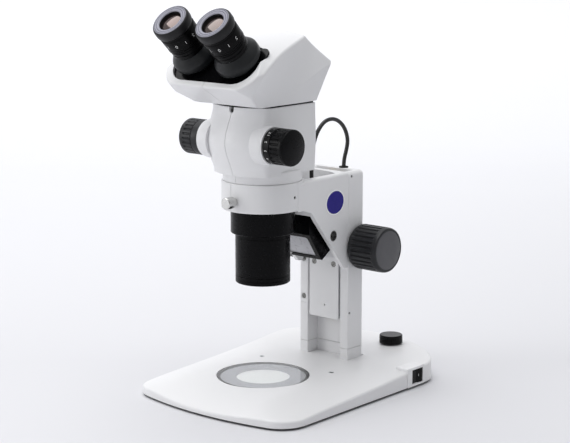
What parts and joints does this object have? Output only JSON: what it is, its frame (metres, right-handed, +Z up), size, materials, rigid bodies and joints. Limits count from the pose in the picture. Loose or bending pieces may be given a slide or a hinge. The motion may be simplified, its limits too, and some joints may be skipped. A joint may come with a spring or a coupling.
{
  "type": "stereo microscope",
  "caption": "Binocular stereo zoom microscope with a sloping head and side zoom knobs, held by a rack-and-pinion focusing arm on a column stand with a lit glass stage plate.",
  "frame": {"origin": "on the bench, under the centre of the bounding box", "axes": "+X to the user's right, +Y away from the user, +Z up"},
  "size_m": [0.2204, 0.3345, 0.42],
  "materials": {
    "white_enamel": "satin white enamel on a die casting",
    "dark_steel_plate": "matte dark powder coat",
    "foot_rubber": "matte black",
    "eyecup_rubber": "soft matte grey-black",
    "black_anodised": "satin black anodised",
    "black_gloss": "semi-gloss black",
    "black_plastic": "fine-grained black",
    "white_plastic": "smooth white",
    "dark_knob": "ribbed dark grey",
    "grey_mask": "light grey",
    "milky_diffuser": "milky white",
    "stage_glass": "clear, polished edge",
    "optical_glass": "coated, green and pink sheen",
    "circuit_board": "green solder mask",
    "machined_steel": "fine turned",
    "bright_screw": "bright nickel",
    "machined_brass": "machined",
    "bare_aluminium": "fine machined",
    "blue_badge": "plain blue, glossy",
    "cable_jacket": "smooth black",
    "lamp_black": "satin black"
  },
  "bodies": {
    "stand": {"base_shell": "white_enamel", "base_bottom_plate": "dark_steel_plate", "rubber_feet": "foot_rubber", "light_mask_ring": "grey_mask", "light_diffuser": "milky_diffuser", "base_led_board": "circuit_board", "clip_sockets": "machined_steel", "switch_housing": "white_plastic", "control_board": "circuit_board", "power_inlet": "black_plastic", "column_foot": "white_enamel", "column_housing": "white_enamel", "column_rear_cover": "white_enamel", "cable_grommet": "foot_rubber", "guide_rails": "machined_steel", "column_screws": "bright_screw", "focus_bushes": "machined_brass"},
    "stage_plate": {"stage_plate": "stage_glass"},
    "power_rocker": {"power_rocker": "black_gloss"},
    "brightness_knob": {"brightness_knob": "black_gloss"},
    "arm": {"arm_casting": "white_enamel", "ring_holder": "white_enamel", "slide_plate": "white_enamel", "focus_rack": "machined_brass", "arm_screws": "bright_screw", "arm_badge": "blue_badge", "lamp_housing": "lamp_black", "lamp_window": "stage_glass", "lamp_clip": "bright_screw", "lamp_cable": "cable_jacket"},
    "focus_drive": {"focus_shaft": "machined_steel", "focus_knob_left": "dark_knob", "focus_knob_right": "dark_knob"},
    "ring_clamp": {"ring_clamp_knob": "bright_screw"},
    "microscope": {"mount_sleeve": "black_anodised", "objective_barrel": "black_anodised", "objective_lens": "optical_glass", "zoom_body_left": "white_enamel", "zoom_body_right": "white_enamel", "body_screw": "bright_screw", "zoom_guide_rods": "machined_steel", "head_joint_ring": "black_anodised", "head_left_shell": "white_enamel", "head_right_shell": "white_enamel", "front_panel": "black_gloss", "prism_blocks": "optical_glass"},
    "zoom_drive": {"zoom_shaft": "machined_steel", "zoom_knob_left": "dark_knob", "zoom_knob_right": "black_plastic"},
    "zoom_carriage": {"zoom_carriage": "bare_aluminium"},
    "tube_right": {"tube_right": "black_anodised", "eyepiece_barrel_right": "black_anodised", "eye_lens_right": "optical_glass"},
    "tube_left": {"tube_left": "black_anodised", "eyepiece_barrel_left": "black_anodised", "eye_lens_left": "optical_glass"},
    "diopter_right": {"diopter_ring_right": "black_anodised", "eyecup_right": "eyecup_rubber"},
    "diopter_left": {"diopter_ring_left": "black_anodised", "eyecup_left": "eyecup_rubber"}
  },
  "joints": [
    {"name": "stage_plate_lift", "type": "slide", "parent": "stand", "child": "stage_plate", "axis": [0, 0, 1], "range_m": [0, 0.03]},
    {"name": "power_rocker_tilt", "type": "hinge", "parent": "stand", "child": "power_rocker", "pos_m": [0.1024, 0.0858, 0.013], "axis": [0, 0, 1], "range_deg": [0, 14]},
    {"name": "brightness_turn", "type": "hinge", "parent": "stand", "child": "brightness_knob", "pos_m": [0.033, 0.1395, 0.03], "axis": [0, 0, 1], "range_deg": [-140, 140]},
    {"name": "focus_slide", "type": "slide", "parent": "stand", "child": "arm", "axis": [0, 0, 1], "range_m": [-0.04, 0.08], "deforming": ["lamp_cable"]},
    {"name": "focus_turn", "type": "hinge", "parent": "stand", "child": "focus_drive", "pos_m": [0, 0.077, 0.1495], "axis": [1, 0, 0], "range_deg": [-820, 411]},
    {"name": "ring_clamp_turn", "type": "hinge", "parent": "arm", "child": "ring_clamp", "pos_m": [0, -0.0895, 0.217], "axis": [0, -1, 0], "range_deg": [0, 360]},
    {"name": "microscope_swivel", "type": "hinge", "parent": "arm", "child": "microscope", "pos_m": [0, -0.0445, 0.236], "axis": [0, 0, 1], "range_deg": [-90, 90]},
    {"name": "zoom_turn", "type": "hinge", "parent": "microscope", "child": "zoom_drive", "pos_m": [0, -0.0785, 0.279], "axis": [1, 0, 0], "range_deg": [-100, 100]},
    {"name": "zoom_carriage_slide", "type": "slide", "parent": "microscope", "child": "zoom_carriage", "axis": [0, 0, 1], "range_m": [-0.0084, 0.0084]},
    {"name": "eye_distance_right", "type": "slide", "parent": "microscope", "child": "tube_right", "axis": [1, 0, 0], "range_m": [-0.0043, 0.0065]},
    {"name": "eye_distance_left", "type": "slide", "parent": "microscope", "child": "tube_left", "axis": [1, 0, 0], "range_m": [-0.0065, 0.0043]},
    {"name": "diopter_right_turn", "type": "hinge", "parent": "tube_right", "child": "diopter_right", "pos_m": [0.029, -0.13676, 0.39211], "axis": [0, -0.7071, 0.7071], "range_deg": [-135, 135]},
    {"name": "diopter_left_turn", "type": "hinge", "parent": "tube_left", "child": "diopter_left", "pos_m": [-0.029, -0.13676, 0.39211], "axis": [0, -0.7071, 0.7071], "range_deg": [-135, 135]}
  ],
  "couplings": [
    {"joint": "focus_turn", "follows": "focus_slide", "rad_per_m": -178.57},
    {"joint": "zoom_carriage_slide", "follows": "zoom_turn", "m_per_rad": 0.0048},
    {"joint": "eye_distance_left", "follows": "eye_distance_right", "ratio": -1}
  ]
}
